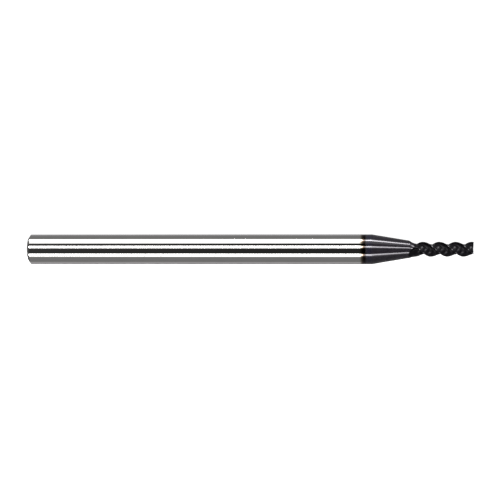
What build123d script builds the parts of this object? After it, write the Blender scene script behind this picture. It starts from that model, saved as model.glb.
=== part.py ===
from build123d import *
from math import atan2, ceil, cos, degrees, pi, radians, sin, sqrt, tan
import os

# Solid carbide square end mill: three flutes, right-hand helix, right-hand cut, on a
# straight shank of twice the cutting diameter. The tool lies along +X with its cutting
# end at +X. The origin is the centre of the butt face. Millimetres and degrees.

# ---- Overall sizes -----------------------------------------------------------------
overall_length = 45.0
shank_diameter = 3.0
cutter_diameter = 1.5

# ---- Lengths along the tool, measured back from the cutting end --------------------
cutter_length = 5.65  # parallel fluted part, at the cutting diameter
taper_length = 4.5  # cone from the cutting diameter up to the shank diameter
collar_length = 0.9  # coated land at the shank diameter, behind the cone

# ---- Butt end ----------------------------------------------------------------------
butt_chamfer_length = 0.25
butt_chamfer_depth = 0.38

# ---- Flutes, in the transverse section ---------------------------------------------
flute_count = 3
helix_angle = 44.0
core_diameter = 0.80
radial_rake = 8.0
hook_radius = 0.28  # concave bottom of the flute
tip_tooth_angle = 105.0  # direction of the first tooth at the cutting end, about +X

# ---- Land behind each cutting edge -------------------------------------------------
primary_angle = 8.0  # trailing angle at which the primary relief ends
primary_drop = 0.020  # fall of the primary relief below the cutting radius
heel_drop = 0.235  # fall of the heel below the cutting radius
land_crown = 0.028  # bulge of the secondary relief over its chord

# ---- Flute run-out, where the wheel lifts out of the cone --------------------------
runout_length = 0.88
runout_lift_angle = 85.0  # direction of the lift, ahead of the cutting edge
runout_lift_power = 3.0  # the wheel stays near its full depth, then lifts ever faster
runout_entry_depth = 0.012  # depth of the flute where it first breaks the cone
relief_runout_length = 0.70

# ---- End teeth ---------------------------------------------------------------------
dish_angle = 3.0
end_relief_angle = 11.0
gash_depth_centre = 0.035
gash_depth_rim = 0.36
gash_opening_angle = 42.0
web_radius = 0.05  # the gashes stop this far from the axis

# ---- Modelling resolution ----------------------------------------------------------
twist_step = 15.0  # largest turn between two neighbouring sections of the helix
runout_steps = 10
flute_curve_steps = 14
land_curve_steps = 4

# ---- Derived -----------------------------------------------------------------------
shank_radius = shank_diameter / 2
cutter_radius = cutter_diameter / 2
core_radius = core_diameter / 2
helix_lead = pi * cutter_diameter / tan(radians(helix_angle))
twist_rate = 360.0 / helix_lead  # degrees of turn for each millimetre
tooth_pitch = 360.0 / flute_count
cutter_start = overall_length - cutter_length
taper_start = cutter_start - taper_length
collar_start = taper_start - collar_length
runout_start = cutter_start - runout_length
taper_slope = (shank_radius - cutter_radius) / taper_length


def polar(radius, angle):
    """A point of a transverse section, from the axis and the cutting edge's direction."""
    return Vector(radius * cos(radians(angle)), radius * sin(radians(angle)))


def bisected(outside, low, high):
    """The value between low and high at which outside turns from false to true."""
    for _ in range(40):
        middle = (low + high) / 2
        if outside(middle):
            high = middle
        else:
            low = middle
    return (low + high) / 2


# ---- Flute form: rake face, hook and straight back, tangent to one another ---------
rake_offset = hook_radius - cutter_radius * sin(radians(radial_rake))
hook_reach = sqrt((core_radius + hook_radius) ** 2 - rake_offset**2)
rake_direction = polar(1, radial_rake)
rake_normal = polar(1, radial_rake + 90)
hook_centre = rake_normal * rake_offset + rake_direction * hook_reach
bottom_angle = degrees(atan2(hook_centre.Y, hook_centre.X))
hook_start_angle = radial_rake - 90
hook_sweep = hook_start_angle + 360 - (bottom_angle + 180)
hook_length = hook_radius * radians(hook_sweep)
flute_reach = 2 * shank_radius  # runs out of the stock on both sides


def flute_point(distance):
    """A point of the flute form, by its distance along the form from the rake side of
    the hook: negative on the rake face, past hook_length on the back."""
    if distance < 0:
        return hook_centre + polar(hook_radius, hook_start_angle) - rake_direction * distance
    if distance > hook_length:
        back = polar(1, bottom_angle + 90) * (distance - hook_length)
        return polar(core_radius, bottom_angle) + back
    turn = degrees(distance / hook_radius)
    return hook_centre + polar(hook_radius, hook_start_angle - turn)


def lifted_point(distance, lift):
    """The same point after the wheel has lifted."""
    return flute_point(distance) + polar(lift, runout_lift_angle)


def deepest_distance(lift):
    """Where the lifted flute form comes nearest to the axis."""
    steps = 200
    span = 2 * hook_length
    distances = [span * index / steps for index in range(steps + 1)]
    return min(distances, key=lambda distance: lifted_point(distance, lift).length)


def stock_radius(station):
    """Radius of the ground blank: the cone, then the cutting diameter."""
    return cutter_radius + max(0.0, cutter_start - station) * taper_slope


def clears_stock(lift):
    """True when the lifted wheel is all but out of the cone."""
    depth = stock_radius(runout_start) - lifted_point(deepest_distance(lift), lift).length
    return depth < runout_entry_depth


exit_lift = bisected(clears_stock, 0.0, 2 * shank_radius)


def wheel_lift(station):
    """Lift of the wheel, which leaves the full depth tangentially."""
    travel = max(0.0, cutter_start - station)
    return exit_lift * (travel / runout_length) ** runout_lift_power


def edge_direction_at(station):
    """Direction of the first tooth's frame: along the helix, then straight as it lifts."""
    helix_station = max(station, cutter_start)
    return tip_tooth_angle + (helix_station - overall_length) * twist_rate


def section_plane(station):
    """The transverse plane at a station, with its x axis towards the first tooth."""
    angle = edge_direction_at(station)
    towards_edge = (0, cos(radians(angle)), sin(radians(angle)))
    return Plane(origin=(station, 0, 0), x_dir=towards_edge, z_dir=(1, 0, 0))


def evenly(start, end, steps):
    """Numbers from start to end in even steps, both ends included."""
    return [start + (end - start) * index / steps for index in range(steps + 1)]


def flute_curve(station, heel_radius):
    """Points of one flute's wall, from its cutting edge to its heel."""
    lift = wheel_lift(station)
    deepest = deepest_distance(lift)
    edge_radius = stock_radius(station)

    def past_edge(travel):
        return lifted_point(deepest - travel, lift).length > edge_radius

    def past_heel(travel):
        return lifted_point(deepest + travel, lift).length > heel_radius

    edge = deepest - bisected(past_edge, 0.0, flute_reach)
    heel = deepest + bisected(past_heel, 0.0, flute_reach)
    return [lifted_point(distance, lift) for distance in evenly(edge, heel, flute_curve_steps)]


def land_curve(heel, primary_end, relief_share):
    """Points of the secondary relief, from the heel to the end of the primary relief.
    A relief share of 0 leaves the round stock, and 1 is the finished land."""
    heel_angle = degrees(atan2(heel.Y, heel.X))
    end_angle = degrees(atan2(primary_end.Y, primary_end.X))
    points = []
    for share in evenly(0.0, 1.0, land_curve_steps):
        angle = heel_angle + (end_angle - heel_angle) * share
        round_radius = heel.length + (primary_end.length - heel.length) * share
        crown = 4 * land_crown * share * (1 - share)
        chord = heel + (primary_end - heel) * share
        ground = chord + polar(crown, angle)
        points.append(polar(round_radius, angle) * (1 - relief_share) + ground * relief_share)
    return points


def tooth_curves(station):
    """Flute wall, secondary relief and primary relief of one tooth pitch."""
    edge_radius = stock_radius(station)
    relief_travel = station - (cutter_start - relief_runout_length)
    relief_share = min(1.0, max(0.0, relief_travel / relief_runout_length))
    heel_radius = edge_radius - heel_drop * relief_share
    wall = flute_curve(station, heel_radius)
    edge_angle = degrees(atan2(wall[0].Y, wall[0].X))
    next_edge = polar(edge_radius, edge_angle + tooth_pitch)
    primary_radius = edge_radius - primary_drop * relief_share
    primary_end = polar(primary_radius, edge_angle + tooth_pitch - primary_angle)
    land = land_curve(wall[-1], primary_end, relief_share)
    return [wall, land, [primary_end, (primary_end + next_edge) / 2, next_edge]]


def cutter_section(station):
    """The whole transverse face of the fluted part at a station."""
    with BuildSketch(section_plane(station)) as section:
        with BuildLine():
            for tooth in range(flute_count):
                for curve in tooth_curves(station):
                    turned = [point.rotate(Axis.Z, tooth * tooth_pitch) for point in curve]
                    knots = evenly(0.0, 1.0, len(turned) - 1)
                    add(Edge.make_spline(turned, parameters=knots))
        make_face()
    return section.sketch


# ---- Shank: bare polished carbide, chamfered at the butt ---------------------------
with BuildPart() as shank:
    with BuildSketch(Plane.XZ):
        with BuildLine():
            Polyline(
                (0, 0),
                (0, shank_radius - butt_chamfer_depth),
                (butt_chamfer_length, shank_radius),
                (collar_start, shank_radius),
                (collar_start, 0),
                close=True,
            )
        make_face()
    revolve(axis=Axis.X)

# ---- Neck: coated collar and the cone down to the flute run-outs -------------------
with BuildPart() as neck:
    with BuildSketch(Plane.XZ):
        with BuildLine():
            Polyline(
                (collar_start, 0),
                (collar_start, shank_radius),
                (taper_start, shank_radius),
                (runout_start, stock_radius(runout_start)),
                (runout_start, 0),
                close=True,
            )
        make_face()
    revolve(axis=Axis.X)

# ---- Grinding volumes of the cutting end: one dished relief facet and one gash -----
tip_height = 2 * cutter_radius
rim = 2 * cutter_radius
wedge_plane = section_plane(overall_length)
wedge_plane = wedge_plane.offset(-cutter_radius)
tip_centre = overall_length - cutter_radius * tan(radians(dish_angle))
outward = wedge_plane.x_dir
ahead = wedge_plane.y_dir
forward = wedge_plane.z_dir
end_edge = outward + forward * tan(radians(dish_angle))
facet_rise = ahead + forward * tan(radians(end_relief_angle))
facet_plane = Plane(
    origin=(tip_centre, 0, 0), x_dir=end_edge, z_dir=end_edge.cross(facet_rise)
)
gash_fall = gash_depth_rim - gash_depth_centre
gash_bottom = outward * cutter_radius - forward * gash_fall
gash_rise = ahead + forward * tan(radians(gash_opening_angle))
gash_plane = Plane(
    origin=(tip_centre - gash_depth_centre, 0, 0),
    x_dir=gash_bottom,
    z_dir=gash_bottom.cross(gash_rise),
)

with BuildPart() as end_relief_grind:
    with BuildSketch(wedge_plane):
        with BuildLine():
            Polyline(
                (0, 0),
                polar(rim, 0),
                polar(rim, -tooth_pitch / 2),
                polar(rim, -tooth_pitch),
                close=True,
            )
        make_face()
    extrude(amount=tip_height)
    split(bisect_by=facet_plane, keep=Keep.TOP)

with BuildPart() as gash_grind:
    with BuildSketch(wedge_plane):
        with BuildLine():
            Polyline(
                polar(web_radius, 0), polar(rim, 0), polar(rim, tooth_pitch / 2), close=True
            )
        make_face()
    extrude(amount=tip_height)
    split(bisect_by=gash_plane, keep=Keep.TOP)

# ---- Cutter: the flute run-outs in the cone, and the fluted cutting part -----------
opening_shares = [share**2 for share in evenly(0.0, 1.0, runout_steps)]
runout_stations = [runout_start + runout_length * share for share in opening_shares]
helix_steps = ceil(cutter_length * twist_rate / twist_step)
helix_stations = evenly(cutter_start, overall_length, helix_steps)

with BuildPart() as cutter:
    loft(sections=[cutter_section(station) for station in runout_stations])
    loft(sections=[cutter_section(station) for station in helix_stations])
    for tooth in range(flute_count):
        turn = tooth * tooth_pitch
        add(end_relief_grind.part.rotate(Axis.X, turn), mode=Mode.SUBTRACT)
        add(gash_grind.part.rotate(Axis.X, turn), mode=Mode.SUBTRACT)

# ---- Export ------------------------------------------------------------------------
shank.part.label = "shank"
neck.part.label = "neck"
cutter.part.label = "cutter"

os.makedirs("parts", exist_ok=True)
export_step(shank.part, "parts/shank.step")
export_step(neck.part, "parts/neck.step")
export_step(cutter.part, "parts/cutter.step")
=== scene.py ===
from math import atan2, ceil, cos, degrees, pi, radians, sin, sqrt, tan

import bmesh
import bpy
from mathutils import Matrix, Vector


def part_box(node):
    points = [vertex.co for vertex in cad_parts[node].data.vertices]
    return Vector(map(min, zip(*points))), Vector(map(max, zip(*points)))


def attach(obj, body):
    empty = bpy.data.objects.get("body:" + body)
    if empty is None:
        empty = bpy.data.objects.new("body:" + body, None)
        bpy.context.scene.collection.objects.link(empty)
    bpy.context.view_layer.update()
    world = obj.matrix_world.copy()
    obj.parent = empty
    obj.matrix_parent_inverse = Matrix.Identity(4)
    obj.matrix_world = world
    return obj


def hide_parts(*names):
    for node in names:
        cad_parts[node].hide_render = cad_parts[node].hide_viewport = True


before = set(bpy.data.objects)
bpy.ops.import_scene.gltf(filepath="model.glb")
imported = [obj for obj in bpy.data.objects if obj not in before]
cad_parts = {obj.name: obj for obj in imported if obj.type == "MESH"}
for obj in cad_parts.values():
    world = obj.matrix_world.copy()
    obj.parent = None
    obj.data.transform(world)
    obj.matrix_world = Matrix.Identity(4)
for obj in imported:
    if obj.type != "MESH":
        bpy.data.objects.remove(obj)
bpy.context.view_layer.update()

# The tool lies along +X with its butt face at the origin. Sizes are in millimetres, as in
# the CAD, and meshes are scaled to metres when they are finished.
MM = 0.001
shank_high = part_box("shank")[1]
neck_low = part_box("neck")[0]
cutter_low, cutter_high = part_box("cutter")

# ---- Sizes read from the frame -----------------------------------------------------
overall_length = cutter_high.x / MM
shank_radius = shank_high.z / MM
collar_start = neck_low.x / MM
runout_start = cutter_low.x / MM

# ---- Sizes that the boxes don't show, as in the CAD ---------------------------------
cutter_radius = 0.75
cutter_length = 5.65
taper_length = 4.5
butt_chamfer_length = 0.25
butt_chamfer_depth = 0.38
flute_count = 3
helix_angle = 44.0
core_radius = 0.40
radial_rake = 8.0
hook_radius = 0.28
tip_tooth_angle = 105.0
primary_angle = 8.0
primary_drop = 0.020
heel_drop = 0.235
land_crown = 0.028
runout_lift_angle = 85.0
runout_lift_power = 3.0
relief_runout_length = 0.70
dish_angle = 3.0
end_relief_angle = 11.0
gash_depth_centre = 0.035
gash_depth_rim = 0.36
gash_opening_angle = 42.0
web_radius = 0.05

# ---- Mesh resolution -----------------------------------------------------------------
butt_ring_radius = 0.2 * shank_radius  # inner ring of the butt face
round_segments = 256
edge_break = 0.03  # radius that softens the turned corners
edge_break_steps = 5
twist_step = 3.0
runout_rings = 44
wall_steps = 26
land_steps = 10
primary_steps = 2
crease_angle = 30.0
merge_distance = 1e-5
flatness = 1e-6  # the smallest length that counts
helix_lead = 2 * pi * cutter_radius / tan(radians(helix_angle))
twist_rate = 360.0 / helix_lead
tooth_pitch = 360.0 / flute_count
cutter_start = overall_length - cutter_length
taper_start = cutter_start - taper_length
runout_length = cutter_start - runout_start
taper_slope = (shank_radius - cutter_radius) / taper_length


def polar(radius, angle):
    return Vector((radius * cos(radians(angle)), radius * sin(radians(angle))))


def evenly(start, end, steps):
    return [start + (end - start) * index / steps for index in range(steps + 1)]


def bisected(outside, low, high):
    """The value between low and high at which outside turns from false to true."""
    for _ in range(40):
        middle = (low + high) / 2
        if outside(middle):
            high = middle
        else:
            low = middle
    return (low + high) / 2


# ---- Flute form: rake face, hook and straight back -----------------------------------
rake_offset = hook_radius - cutter_radius * sin(radians(radial_rake))
hook_reach = sqrt((core_radius + hook_radius) ** 2 - rake_offset**2)
rake_direction = polar(1, radial_rake)
hook_centre = polar(1, radial_rake + 90) * rake_offset + rake_direction * hook_reach
bottom_angle = degrees(atan2(hook_centre.y, hook_centre.x))
hook_start_angle = radial_rake - 90
hook_length = hook_radius * radians(hook_start_angle + 180 - bottom_angle)
flute_reach = 2 * shank_radius


def flute_point(distance):
    """A point of the flute form: negative distances lie on the rake face, and those past
    hook_length on the back."""
    if distance < 0:
        return hook_centre + polar(hook_radius, hook_start_angle) - rake_direction * distance
    if distance > hook_length:
        back = polar(1, bottom_angle + 90) * (distance - hook_length)
        return polar(core_radius, bottom_angle) + back
    return hook_centre + polar(hook_radius, hook_start_angle - degrees(distance / hook_radius))


def lifted_point(distance, lift):
    return flute_point(distance) + polar(lift, runout_lift_angle)


def deepest_distance(lift):
    distances = evenly(0.0, 2 * hook_length, 200)
    return min(distances, key=lambda distance: lifted_point(distance, lift).length)


def stock_radius(station):
    return cutter_radius + max(0.0, cutter_start - station) * taper_slope


def clears_stock(lift):
    return stock_radius(runout_start) < lifted_point(deepest_distance(lift), lift).length


exit_lift = bisected(clears_stock, 0.0, 2 * shank_radius)


def wheel_lift(station):
    travel = max(0.0, cutter_start - station)
    return exit_lift * (travel / runout_length) ** runout_lift_power


def edge_direction_at(station):
    return tip_tooth_angle + (max(station, cutter_start) - overall_length) * twist_rate


def flute_wall(station, heel_radius):
    """Points of one flute's wall, from its cutting edge to its heel."""
    lift = wheel_lift(station)
    deepest = deepest_distance(lift)
    edge_radius = stock_radius(station)
    edge = deepest - bisected(
        lambda travel: lifted_point(deepest - travel, lift).length > edge_radius, 0.0, flute_reach
    )
    heel = deepest + bisected(
        lambda travel: lifted_point(deepest + travel, lift).length > heel_radius, 0.0, flute_reach
    )
    return [lifted_point(distance, lift) for distance in evenly(edge, heel, wall_steps)]


def land_points(heel, primary_end, relief_share):
    """Points of the secondary relief, round at a relief share of 0 and ground at 1."""
    heel_angle = degrees(atan2(heel.y, heel.x))
    end_angle = degrees(atan2(primary_end.y, primary_end.x))
    points = []
    for share in evenly(0.0, 1.0, land_steps):
        angle = heel_angle + (end_angle - heel_angle) * share
        round_radius = heel.length + (primary_end.length - heel.length) * share
        crown = 4 * land_crown * share * (1 - share)
        ground = heel + (primary_end - heel) * share + polar(crown, angle)
        points.append(polar(round_radius, angle) * (1 - relief_share) + ground * relief_share)
    return points


def tooth_points(station):
    """One tooth pitch of a section, from one cutting edge up to the next."""
    edge_radius = stock_radius(station)
    relief_travel = station - (cutter_start - relief_runout_length)
    relief_share = min(1.0, max(0.0, relief_travel / relief_runout_length))
    wall = flute_wall(station, edge_radius - heel_drop * relief_share)
    edge_angle = degrees(atan2(wall[0].y, wall[0].x))
    primary_radius = edge_radius - primary_drop * relief_share
    next_edge = polar(edge_radius, edge_angle + tooth_pitch)
    primary_end = polar(primary_radius, edge_angle + tooth_pitch - primary_angle)
    land = land_points(wall[-1], primary_end, relief_share)
    primary = [primary_end.lerp(next_edge, share) for share in evenly(0.0, 1.0, primary_steps)]
    return wall[:-1] + land[:-1] + primary[:-1]


def at_station(point, station, turn=0.0):
    """A section point in 3-D. Its x axis points at the first tooth's edge."""
    angle = radians(edge_direction_at(station) + turn)
    y = point.x * cos(angle) - point.y * sin(angle)
    z = point.x * sin(angle) + point.y * cos(angle)
    return Vector((station, y, z))


# ---- Mesh helpers --------------------------------------------------------------------
POLISHED, CHAMFER, BUTT = range(3)
FLUTE, LAND, PRIMARY, CONE, FACET = range(5)


def new_object(name, mesh):
    piece = bpy.data.objects.new(name, mesh)
    bpy.context.scene.collection.objects.link(piece)
    return piece


def ringed_mesh(name, rings, zones=None):
    """A closed mesh over rings of points that run the same way round +X."""
    built = bmesh.new()
    loops = [[built.verts.new(point) for point in ring] for ring in rings]
    count = len(rings[0])
    for row in range(len(loops) - 1):
        for column in range(count):
            following = (column + 1) % count
            corners = (
                loops[row][column],
                loops[row][following],
                loops[row + 1][following],
                loops[row + 1][column],
            )
            face = built.faces.new(corners)
            face.smooth = True
            if zones:
                face.material_index = zones[row][column]
    start_cap = built.faces.new(list(reversed(loops[0])))
    end_cap = built.faces.new(loops[-1])
    if zones:
        start_cap.material_index = CONE
        end_cap.material_index = FACET
    mesh = bpy.data.meshes.new(name)
    built.to_mesh(mesh)
    built.free()
    return mesh


def finish_mesh(piece):
    """Cleans a mesh in millimetres, marks its creases and scales it to metres."""
    mesh = piece.data
    built = bmesh.new()
    built.from_mesh(mesh)
    bmesh.ops.remove_doubles(built, verts=built.verts, dist=merge_distance)
    bmesh.ops.dissolve_degenerate(built, edges=built.edges, dist=flatness)
    for edge in built.edges:
        if len(edge.link_faces) != 2:
            continue
        first, second = edge.link_faces
        differs = first.material_index != second.material_index
        flat = not (first.smooth and second.smooth)
        edge.smooth = not (differs or flat or edge.calc_face_angle(0.0) > radians(crease_angle))
    built.to_mesh(mesh)
    built.free()
    mesh.transform(Matrix.Scale(MM, 4))
    mesh.update()


def turned_profile(corners):
    """The profile's points with every inner corner rounded by edge_break."""
    points = [Vector(corners[0])]
    for before, corner, after in zip(corners, corners[1:], corners[2:]):
        corner = Vector(corner)
        back = (Vector(before) - corner).normalized()
        onward = (Vector(after) - corner).normalized()
        half = back.angle(onward) / 2
        setback = edge_break / tan(half)
        centre = corner + (back + onward).normalized() * (edge_break / sin(half))
        start, end = corner + back * setback, corner + onward * setback
        for share in evenly(0.0, 1.0, edge_break_steps):
            spoke = (start - centre).slerp(end - centre, share)
            points.append(centre + spoke.normalized() * edge_break)
    points.append(Vector(corners[-1]))
    return points


def turned_rings(profile):
    """Rings of a solid of revolution about X, from points (station, radius)."""
    rings = []
    for station, radius in profile:
        angles = [360.0 * index / round_segments for index in range(round_segments)]
        rings.append([Vector((station, *polar(radius, angle))) for angle in angles])
    return rings


# ---- Shank, neck and cutter ------------------------------------------------------------
def turned_piece(name, corners, materials):
    """A piece turned about X, in millimetres and not yet finished."""
    piece = new_object(name, ringed_mesh(name, turned_rings(turned_profile(corners))))
    for material in materials:
        piece.data.materials.append(material)
    return piece


def make_shank(materials):
    corners = [
        (0.0, butt_ring_radius),
        (0.0, shank_radius - butt_chamfer_depth),
        (butt_chamfer_length, shank_radius),
        (collar_start, shank_radius),
    ]
    piece = turned_piece("shank_ground", corners, materials)
    for face in piece.data.polygons:
        if face.center.x < flatness:
            face.material_index = BUTT
        elif face.center.x < butt_chamfer_length:
            face.material_index = CHAMFER
    finish_mesh(piece)
    return piece


def make_neck(materials):
    corners = [
        (collar_start, shank_radius),
        (taper_start, shank_radius),
        (runout_start, stock_radius(runout_start)),
    ]
    piece = turned_piece("neck_cone", corners, materials)
    finish_mesh(piece)
    return piece


def wedge(name, corners, floor, material):
    """A prism over section corners at the cutting end, cut below by the height floor."""
    top = overall_length + cutter_radius
    turn = edge_direction_at(overall_length)
    built = bmesh.new()

    def placed(corner, station):
        y, z = Matrix.Rotation(radians(turn), 2) @ corner
        return built.verts.new((station, y, z))

    low = [placed(corner, floor(corner)) for corner in corners]
    high = [placed(corner, top) for corner in corners]
    built.faces.new(list(reversed(low)))
    built.faces.new(high)
    for index in range(len(corners)):
        following = (index + 1) % len(corners)
        built.faces.new((low[index], low[following], high[following], high[index]))
    mesh = bpy.data.meshes.new(name)
    built.to_mesh(mesh)
    built.free()
    mesh.materials.append(material)
    return new_object(name, mesh)


def end_grinds(material):
    """The relief facet and the gash of each end tooth, as solids to take away."""
    rim = 2 * cutter_radius
    tip_centre = overall_length - cutter_radius * tan(radians(dish_angle))
    overlap = 0.02  # degrees, so that neighbouring walls never coincide
    tools = []
    for tooth in range(flute_count):
        turn = tooth * tooth_pitch
        back_turn = Matrix.Rotation(radians(-turn), 2)

        def facet_height(corner):
            across = back_turn @ corner
            relief = across.y * tan(radians(end_relief_angle))
            return tip_centre + across.x * tan(radians(dish_angle)) + relief

        def gash_height(corner):
            across = back_turn @ corner
            fall = across.x * (gash_depth_rim - gash_depth_centre) / cutter_radius
            rise = across.y * tan(radians(gash_opening_angle))
            return tip_centre - gash_depth_centre - fall + rise

        facet_corners = [
            Vector((0.0, 0.0)),
            polar(rim, turn - tooth_pitch - overlap),
            polar(rim, turn - tooth_pitch / 2),
            polar(rim, turn),
        ]
        gash_corners = [
            polar(web_radius, turn - 2 * overlap),
            polar(rim, turn - 2 * overlap),
            polar(rim, turn + tooth_pitch / 2),
        ]
        tools.append(wedge(f"facet_{tooth}", facet_corners, facet_height, material))
        tools.append(wedge(f"gash_{tooth}", gash_corners, gash_height, material))
    return tools


def ground_away(piece, tools):
    for tool in tools:
        change = piece.modifiers.new("ground_away", "BOOLEAN")
        change.operation = "DIFFERENCE"
        change.solver = "MANIFOLD"
        change.object = tool
    graph = bpy.context.evaluated_depsgraph_get()
    mesh = bpy.data.meshes.new_from_object(piece.evaluated_get(graph))
    piece.modifiers.clear()
    piece.data = mesh
    for tool in tools:
        bpy.data.objects.remove(tool)


def make_cutter(materials):
    opening = [share**2 for share in evenly(0.0, 1.0, runout_rings)]
    stations = [runout_start + runout_length * share for share in opening[:-1]]
    helix_rings = ceil(cutter_length * twist_rate / twist_step)
    stations += evenly(cutter_start, overall_length, helix_rings)
    rings = []
    for station in stations:
        pitch = tooth_points(station)
        rings.append(
            [
                at_station(point, station, tooth * tooth_pitch)
                for tooth in range(flute_count)
                for point in pitch
            ]
        )
    zones = []
    for station in stations:
        on_cone = station < cutter_start - relief_runout_length / 2
        land, primary = (CONE, CONE) if on_cone else (LAND, PRIMARY)
        pitch = [FLUTE] * wall_steps + [land] * land_steps + [primary] * primary_steps
        zones.append(pitch * flute_count)
    mesh = ringed_mesh("cutter_fluted", rings, zones)
    for material in materials:
        mesh.materials.append(material)
    piece = new_object("cutter_fluted", mesh)
    ground_away(piece, end_grinds(materials[FACET]))
    finish_mesh(piece)
    return piece


# ---- Node helpers ----------------------------------------------------------------------
class Shader:
    """A material's node tree, with short ways to add and join nodes."""

    def __init__(self, name):
        self.material = bpy.data.materials.new(name)
        self.material.use_nodes = True
        self.tree = self.material.node_tree
        self.surface = self.tree.nodes["Principled BSDF"]

    def add(self, kind, **settings):
        node = self.tree.nodes.new(kind)
        for key, value in settings.items():
            setattr(node, key, value)
        return node

    def join(self, output, socket):
        self.tree.links.new(output, socket)

    def math(self, operation, first, second=None):
        node = self.add("ShaderNodeMath", operation=operation)
        for socket, value in zip(node.inputs, (first, second)):
            if hasattr(value, "is_linked"):
                self.join(value, socket)
            elif value is not None:
                socket.default_value = value
        return node.outputs[0]

    def place(self):
        """Object coordinates in millimetres."""
        coordinates = self.add("ShaderNodeTexCoord")
        scaled = self.add("ShaderNodeVectorMath", operation="SCALE")
        scaled.inputs["Scale"].default_value = 1 / MM
        self.join(coordinates.outputs["Object"], scaled.inputs[0])
        return scaled.outputs[0]

    def stretched(self, vector, scales):
        node = self.add("ShaderNodeVectorMath", operation="MULTIPLY")
        node.inputs[1].default_value = scales
        self.join(vector, node.inputs[0])
        return node.outputs[0]

    def noise(self, vector, scale, detail=3.0, roughness=0.5):
        node = self.add("ShaderNodeTexNoise")
        node.inputs["Scale"].default_value = scale
        node.inputs["Detail"].default_value = detail
        node.inputs["Roughness"].default_value = roughness
        self.join(vector, node.inputs["Vector"])
        return node.outputs["Fac"]

    def ranged(self, value, low, high, from_low=0.3, from_high=0.7):
        node = self.add("ShaderNodeMapRange")
        node.inputs["From Min"].default_value = from_low
        node.inputs["From Max"].default_value = from_high
        node.inputs["To Min"].default_value = low
        node.inputs["To Max"].default_value = high
        self.join(value, node.inputs["Value"])
        return node.outputs["Result"]

    def ramp(self, value, stops):
        node = self.add("ShaderNodeValToRGB")
        elements = node.color_ramp.elements
        for index, (position, colour) in enumerate(stops):
            element = elements[index] if index < 2 else elements.new(position)
            element.position = position
            element.color = (*colour, 1.0)
        self.join(value, node.inputs["Fac"])
        return node.outputs["Color"]

    def mixed(self, share, first, second):
        node = self.add("ShaderNodeMix", data_type="RGBA")
        for socket, value in zip((node.inputs[0], node.inputs[6], node.inputs[7]), (share, first, second)):
            if hasattr(value, "is_linked"):
                self.join(value, socket)
            elif isinstance(value, tuple):
                socket.default_value = (*value, 1.0)
            else:
                socket.default_value = value
        return node.outputs[2]

    def bumped(self, height, distance):
        node = self.add("ShaderNodeBump")
        node.inputs["Strength"].default_value = 1.0
        node.inputs["Distance"].default_value = distance
        self.join(height, node.inputs["Height"])
        self.join(node.outputs["Normal"], self.surface.inputs["Normal"])


# ---- Materials ---------------------------------------------------------------------------
bare_colour = (0.80, 0.79, 0.77)
coat_colour = (0.0105, 0.0093, 0.0118)
# Reflectance along the masked edge of the coating, by distance from the start of the collar.
coating_edge = [
    (-0.35, bare_colour),
    (-0.24, (0.62, 0.58, 0.50)),
    (-0.16, (0.30, 0.265, 0.21)),
    (-0.08, (0.13, 0.102, 0.076)),
    (0.00, (0.052, 0.037, 0.029)),
    (0.08, (0.024, 0.018, 0.0145)),
    (0.21, (0.016, 0.013, 0.0115)),
    (0.35, (0.0100, 0.0092, 0.0125)),
    (0.55, (0.0085, 0.0084, 0.0155)),
    (0.80, (0.0095, 0.0088, 0.0130)),
    (1.03, coat_colour),
]
fade_start, fade_end = -0.35, 1.05
coat_tint = (0.97, 0.94, 1.0, 1.0)
metal_ends, coat_begins = 0.20, 0.35  # between them the surface turns from metal to coat


def edge_colours(shader, place):
    """Bare carbide, the tinted edge of the coating and the coat, by station along X."""
    wander = shader.ranged(shader.noise(place, 0.8, 2.0), -0.02, 0.02)
    along = shader.add("ShaderNodeSeparateXYZ")
    shader.join(place, along.inputs[0])
    from_collar = shader.math("SUBTRACT", along.outputs["X"], collar_start)
    distance = shader.math("ADD", from_collar, wander)
    share = shader.ranged(distance, 0.0, 1.0, fade_start, fade_end)
    span = fade_end - fade_start
    stops = [((stop - fade_start) / span, colour) for stop, colour in coating_edge]
    metal = shader.ranged(distance, 1.0, 0.0, metal_ends, coat_begins)
    shader.join(metal, shader.surface.inputs["Metallic"])
    return shader.ramp(share, stops)


def turned_carbide(name, rough_low, rough_high, gloss):
    """Ground and polished round stock: fine marks run round the axis."""
    shader = Shader(name)
    place = shader.place()
    colour = edge_colours(shader, place)
    smear = shader.noise(shader.stretched(place, (0.4, 1.0, 1.0)), 1.5, 3.0)
    cloud = shader.ranged(smear, 0.94, 1.0)
    tone = shader.add("ShaderNodeVectorMath", operation="SCALE")
    shader.join(colour, tone.inputs[0])
    shader.join(cloud, tone.inputs["Scale"])
    shader.join(tone.outputs[0], shader.surface.inputs["Base Color"])
    shader.surface.inputs["Specular IOR Level"].default_value = gloss
    shader.surface.inputs["Specular Tint"].default_value = coat_tint
    marks = shader.noise(shader.stretched(place, (30.0, 0.3, 0.3)), 1.0, 1.0)
    shader.join(shader.ranged(marks, rough_low, rough_high), shader.surface.inputs["Roughness"])
    shader.bumped(marks, 5.0e-9)
    return shader.material


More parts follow.
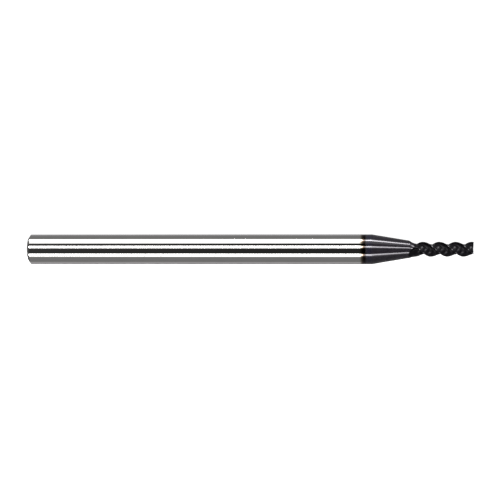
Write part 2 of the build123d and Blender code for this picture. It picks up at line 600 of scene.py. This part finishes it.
def ground_carbide(name, colour, rough_low, rough_high):
    """Bare carbide as the face wheel leaves it: duller, with marks in rings."""
    shader = Shader(name)
    place = shader.place()
    away = shader.add("ShaderNodeVectorMath", operation="LENGTH")
    shader.join(shader.stretched(place, (0.0, 1.0, 1.0)), away.inputs[0])
    rings = shader.add("ShaderNodeCombineXYZ")
    shader.join(away.outputs["Value"], rings.inputs["X"])
    marks = shader.noise(rings.outputs["Vector"], 30.0, 3.0)
    cloud = shader.noise(place, 2.0, 2.0)
    darker = tuple(channel * 0.8 for channel in colour)
    tone = shader.mixed(shader.ranged(cloud, 0.0, 1.0), darker, colour)
    shader.join(tone, shader.surface.inputs["Base Color"])
    shader.surface.inputs["Metallic"].default_value = 1.0
    shader.join(shader.ranged(marks, rough_low, rough_high), shader.surface.inputs["Roughness"])
    shader.bumped(marks, 3.0e-7)
    return shader.material


def helix_place(shader):
    """Object coordinates turned back along the helix, so a flute's form stays in place."""
    place = shader.place()
    along = shader.add("ShaderNodeSeparateXYZ")
    shader.join(place, along.inputs[0])
    angle = shader.math("MULTIPLY", along.outputs["X"], -radians(twist_rate))
    turned = shader.add("ShaderNodeVectorRotate", rotation_type="X_AXIS")
    shader.join(place, turned.inputs["Vector"])
    shader.join(angle, turned.inputs["Angle"])
    return place, turned.outputs["Vector"]


def ground_coat(name, colour, rough_low, rough_high, gloss, depth):
    """Coated ground surface: wheel marks follow the helix."""
    shader = Shader(name)
    place, turned = helix_place(shader)
    marks = shader.noise(shader.stretched(turned, (0.25, 14.0, 14.0)), 1.0, 4.0, 0.6)
    cloud = shader.noise(place, 3.0, 3.0)
    darker = tuple(channel * 0.7 for channel in colour)
    tone = shader.mixed(shader.ranged(cloud, 0.0, 1.0), darker, colour)
    shader.join(tone, shader.surface.inputs["Base Color"])
    shader.surface.inputs["Specular IOR Level"].default_value = gloss
    shader.surface.inputs["Specular Tint"].default_value = coat_tint
    shader.join(shader.ranged(marks, rough_low, rough_high), shader.surface.inputs["Roughness"])
    shader.bumped(marks, depth)
    return shader.material


def floor_material():
    shader = Shader("pale_floor")
    place = shader.place()
    cloud = shader.noise(place, 0.02, 2.0)
    tone = shader.mixed(shader.ranged(cloud, 0.0, 1.0), (0.80, 0.80, 0.80), (0.82, 0.82, 0.82))
    shader.join(tone, shader.surface.inputs["Base Color"])
    shader.surface.inputs["Roughness"].default_value = 1.0
    shader.surface.inputs["Specular IOR Level"].default_value = 0.0
    return shader.material


# ---- Studio ------------------------------------------------------------------------------
# Light round the tool by the angle above the line to the camera, about X, in degrees:
# broad white and grey cards, and three narrow lamps in front of them, far brighter.
card_bands = [
    (-180, 0.26),
    (-150, 0.30),
    (-119, 0.42),
    (-117, 0.19),
    (-62.0, 0.21),
    (-60.5, 1.4),
    (-37.5, 1.4),
    (-36.5, 0.02),
    (6.5, 0.02),
    (8.5, 1.4),
    (25.0, 1.4),
    (26.5, 0.02),
    (45.5, 0.02),
    (47.0, 1.4),
    (86, 1.4),
    (87.5, 0.20),
    (127, 0.20),
    (130, 0.37),
    (150, 0.30),
    (180, 0.26),
]
lamp_bands = [
    (-51, 0.0),
    (-49.5, 19.5),
    (-39.5, 19.5),
    (-38, 0.0),
    (14, 0.0),
    (15.5, 24.0),
    (22.5, 24.0),
    (24, 0.0),
    (67, 0.0),
    (68.5, 28.5),
    (77.5, 28.5),
    (79, 0.0),
]
card_falloff = 1.0  # how fast the light falls towards the ends of the tool
lamp_falloff = 5.0
end_light = 0.25  # light straight along the tool
backdrop_light = 1.1
floor_half_width = 1.5  # metres


def light_world():
    world = bpy.data.worlds.new("studio")
    bpy.context.scene.world = world
    world.use_nodes = True
    tree = world.node_tree
    background = tree.nodes["Background"]

    def add(kind, **settings):
        node = tree.nodes.new(kind)
        for key, value in settings.items():
            setattr(node, key, value)
        return node

    coordinates = add("ShaderNodeTexCoord")
    parts = add("ShaderNodeSeparateXYZ")
    tree.links.new(coordinates.outputs["Generated"], parts.inputs[0])
    towards = add("ShaderNodeMath", operation="MULTIPLY")
    towards.inputs[1].default_value = -1.0
    tree.links.new(parts.outputs["Y"], towards.inputs[0])
    angle = add("ShaderNodeMath", operation="ARCTAN2")
    tree.links.new(parts.outputs["Z"], angle.inputs[0])
    tree.links.new(towards.outputs[0], angle.inputs[1])
    share = add("ShaderNodeMapRange")
    share.inputs["From Min"].default_value = -pi
    share.inputs["From Max"].default_value = pi
    tree.links.new(angle.outputs[0], share.inputs["Value"])
    endwise = add("ShaderNodeMath", operation="MULTIPLY")
    tree.links.new(parts.outputs["X"], endwise.inputs[0])
    tree.links.new(parts.outputs["X"], endwise.inputs[1])
    rest = add("ShaderNodeMath", operation="SUBTRACT")
    rest.inputs[0].default_value = 1.0
    tree.links.new(endwise.outputs[0], rest.inputs[1])

    def banded(bands, power):
        """Light by angle about X, fading towards both ends of the tool."""
        brightest = max(light for degree, light in bands)
        ramp = add("ShaderNodeValToRGB")
        elements = ramp.color_ramp.elements
        for index, (degree, light) in enumerate(bands):
            position = (degree + 180) / 360
            element = elements[index] if index < 2 else elements.new(position)
            element.position = position
            element.color = (light / brightest,) * 3 + (1.0,)
        tree.links.new(share.outputs["Result"], ramp.inputs["Fac"])
        fade = add("ShaderNodeMath", operation="POWER")
        fade.inputs[1].default_value = power
        tree.links.new(rest.outputs[0], fade.inputs[0])
        faded = add("ShaderNodeMath", operation="MULTIPLY")
        tree.links.new(ramp.outputs["Color"], faded.inputs[0])
        tree.links.new(fade.outputs[0], faded.inputs[1])
        scaled = add("ShaderNodeMath", operation="MULTIPLY")
        scaled.inputs[1].default_value = brightest
        tree.links.new(faded.outputs[0], scaled.inputs[0])
        return scaled.outputs[0]

    both = add("ShaderNodeMath", operation="ADD")
    tree.links.new(banded(card_bands, card_falloff), both.inputs[0])
    tree.links.new(banded(lamp_bands, lamp_falloff), both.inputs[1])
    ends = add("ShaderNodeMath", operation="MULTIPLY_ADD")
    ends.inputs[1].default_value = end_light
    tree.links.new(endwise.outputs[0], ends.inputs[0])
    tree.links.new(both.outputs[0], ends.inputs[2])
    # The camera sees a plain white backdrop.
    path = add("ShaderNodeLightPath")
    seen = add("ShaderNodeMix", data_type="FLOAT")
    tree.links.new(path.outputs["Is Camera Ray"], seen.inputs[0])
    tree.links.new(ends.outputs[0], seen.inputs[2])
    seen.inputs[3].default_value = backdrop_light
    tree.links.new(seen.outputs[0], background.inputs["Strength"])
    background.inputs["Color"].default_value = (1.0, 1.0, 1.0, 1.0)


def make_floor():
    half = floor_half_width
    level = -shank_radius * MM
    mesh = bpy.data.meshes.new("floor")
    corners = [(-half, -half, level), (half, -half, level), (half, half, level), (-half, half, level)]
    mesh.from_pydata(corners, [], [(0, 1, 2, 3)])
    mesh.materials.append(floor_material())
    floor = new_object("floor", mesh)
    floor.visible_glossy = False


camera_azimuth = 4.4
camera_distance = 0.2206
camera_lens = 157.46
camera_drop = 0.00007
camera_aim = 0.000045  # how far past the middle of the tool the camera aims


def make_camera():
    centre = Vector((overall_length / 2 * MM + camera_aim, 0.0, -camera_drop))
    angle = radians(camera_azimuth)
    away = Vector((sin(angle), -cos(angle), 0.0))
    data = bpy.data.cameras.new("camera")
    data.lens = camera_lens
    data.sensor_width = 36.0
    data.clip_start = 0.01
    data.clip_end = 20.0
    camera = new_object("camera", data)
    camera.location = centre + away * camera_distance
    camera.rotation_euler = (-away).to_track_quat("-Z", "Y").to_euler()
    bpy.context.scene.camera = camera


# ---- Assembly ------------------------------------------------------------------------------
bare = turned_carbide("polished_carbide", 0.038, 0.050, 0.5)
# The chamfer's base colour is set far darker than the butt face's. This is painted shade that keeps the
# chamfer a dark ring and damps its glints; its higher roughness is the real ground finish.
chamfer_ground_painted_shade = ground_carbide("ground_chamfer_painted_shade", (0.16, 0.157, 0.152), 0.34, 0.44)
butt_finish = ground_carbide("ground_butt", (0.52, 0.51, 0.495), 0.42, 0.55)
coated = turned_carbide("glossy_coat", 0.07, 0.09, 0.44)
# The flute coat's base colour and gloss are set far below the coat's. This is painted shade that keeps the
# flute hollows near black; its marks and roughness are the real ground finish.
flute_coat_painted_shade = ground_coat("flute_coat_painted_shade", (0.0034, 0.0031, 0.0040), 0.28, 0.38, 0.06, 4.0e-7)
land_coat = ground_coat("land_coat", (0.0040, 0.0037, 0.0047), 0.17, 0.25, 0.12, 3.0e-7)
edge_coat = ground_coat("edge_coat", (0.0060, 0.0055, 0.0068), 0.14, 0.20, 0.34, 1.0e-7)
facet_coat = ground_coat("facet_coat", (0.0060, 0.0055, 0.0068), 0.20, 0.30, 0.30, 3.0e-7)

shank = make_shank([bare, chamfer_ground_painted_shade, butt_finish])
neck = make_neck([coated])
cutter = make_cutter([flute_coat_painted_shade, land_coat, edge_coat, coated, facet_coat])
for piece, node, finish in (
    (shank, "shank", "bare_carbide"),
    (neck, "neck", "coated_carbide"),
    (cutter, "cutter", "coated_flutes"),
):
    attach(piece, "root")
    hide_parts(node)

light_world()
make_floor()
make_camera()
bpy.context.scene.view_settings.view_transform = "Standard"
